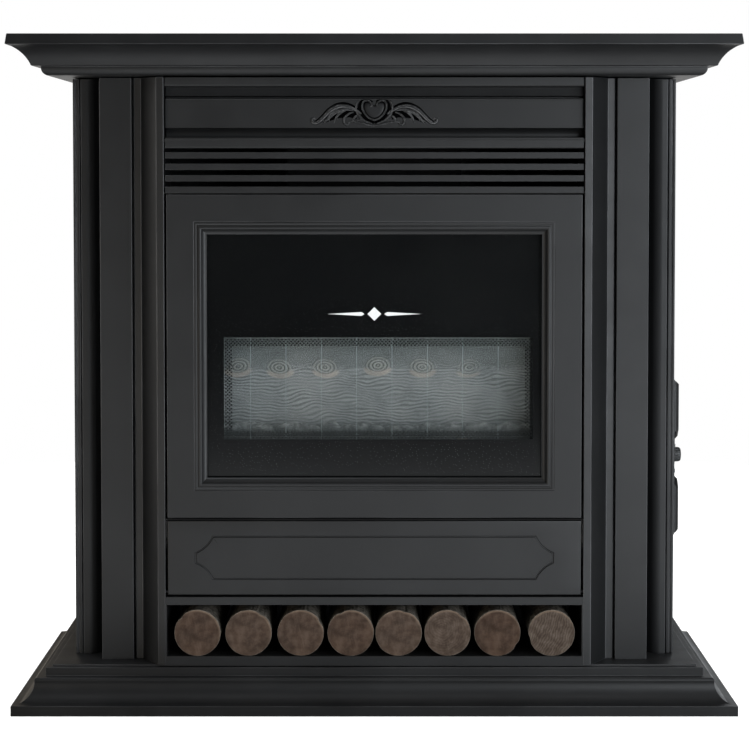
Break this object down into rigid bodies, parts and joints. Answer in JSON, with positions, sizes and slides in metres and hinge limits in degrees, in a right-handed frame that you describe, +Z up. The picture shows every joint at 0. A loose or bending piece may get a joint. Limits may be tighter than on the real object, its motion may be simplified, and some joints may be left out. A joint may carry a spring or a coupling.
{
  "type": "gas heater",
  "caption": "Free-standing gas heater shaped as a small fireplace: moulded mantel and base, pilasters, a hinged glass door over a log-effect fire, a drop-down flap and a log store.",
  "frame": {"origin": "middle of the base's underside, on the floor", "axes": "+X to the right as seen from the front, +Y to the back, +Z up; the front faces -Y"},
  "size_m": [0.9484, 0.486, 0.8862],
  "materials": {
    "casing_paint": "satin charcoal paint",
    "stove_black": "matt black stove paint",
    "log_wood": "dry sawn log",
    "bare_steel": "bare steel",
    "bright_chrome": "polished",
    "gas_brass": "turned brass and copper",
    "printed_glass": "black printed glass",
    "heat_glass": "clear heat-proof glass",
    "woven_seal": "woven glass fibre",
    "fire_ceramic": "moulded ceramic fibre",
    "knob_plastic": "moulded black",
    "button_plastic": "moulded black"
  },
  "bodies": {
    "casing": {"base_plinth": "casing_paint", "burner_brackets": "bare_steel", "burner_feed_pipe": "gas_brass", "burner_tube": "bare_steel", "ceramic_log": "fire_ceramic", "chamber_legs": "stove_black", "combustion_chamber": "stove_black", "control_escutcheon": "casing_paint", "door_lintel": "stove_black", "door_magnet": "stove_black", "door_sill": "stove_black", "draft_hood": "stove_black", "ember_bed": "fire_ceramic", "escutcheon_screws": "bright_chrome", "fire_shelf": "stove_black", "floor_plate": "stove_black", "flue_spigot": "bare_steel", "frieze_ornament": "casing_paint", "gas_inlet_nipple": "gas_brass", "gas_valve": "gas_brass", "glass_strips": "heat_glass", "header_fascia": "casing_paint", "injector": "gas_brass", "inlet_pipe": "gas_brass", "left_pilaster": "casing_paint", "left_side_panel": "casing_paint", "log_1": "log_wood", "log_2": "log_wood", "log_3": "log_wood", "log_4": "log_wood", "log_5": "log_wood", "log_6": "log_wood", "log_7": "log_wood", "log_8": "log_wood", "log_tray": "stove_black", "louvre_slats": "casing_paint", "mantel_top": "casing_paint", "piezo_igniter": "knob_plastic", "pilot_burner": "bare_steel", "rear_panel": "stove_black", "right_pilaster": "casing_paint", "right_side_panel": "casing_paint", "spark_electrode": "fire_ceramic", "strip_rails": "stove_black", "thermocouple": "bare_steel", "tray_screws": "bright_chrome", "valve_bracket": "stove_black", "window_frame": "stove_black"},
    "door": {"door_frame": "casing_paint", "glass_bead": "casing_paint", "glass_gasket": "woven_seal", "door_glass": "printed_glass", "glass_clips": "bare_steel", "door_pivot_pins": "bare_steel", "door_catch_plate": "bare_steel"},
    "flap": {"access_flap": "casing_paint", "flap_pins": "bare_steel"},
    "knob": {"control_knob": "knob_plastic", "valve_spindle": "bare_steel"},
    "button": {"igniter_button": "button_plastic"}
  },
  "joints": [
    {"name": "door_hinge", "type": "hinge", "parent": "casing", "child": "door", "pos_m": [-0.2687, -0.178, 0.4662], "axis": [0, 0, -1], "range_deg": [0, 100]},
    {"name": "flap_hinge", "type": "hinge", "parent": "casing", "child": "flap", "pos_m": [0, -0.178, 0.1547], "axis": [1, 0, 0], "range_deg": [0, 90]},
    {"name": "knob_turn", "type": "hinge", "parent": "casing", "child": "knob", "pos_m": [0.4073, -0.045, 0.3192], "axis": [1, 0, 0], "range_deg": [0, 270]},
    {"name": "igniter_push", "type": "slide", "parent": "casing", "child": "button", "axis": [-1, 0, 0], "range_m": [0, 0.004], "stiffness_N_per_m": 2500, "springref_m": -0.002}
  ]
}
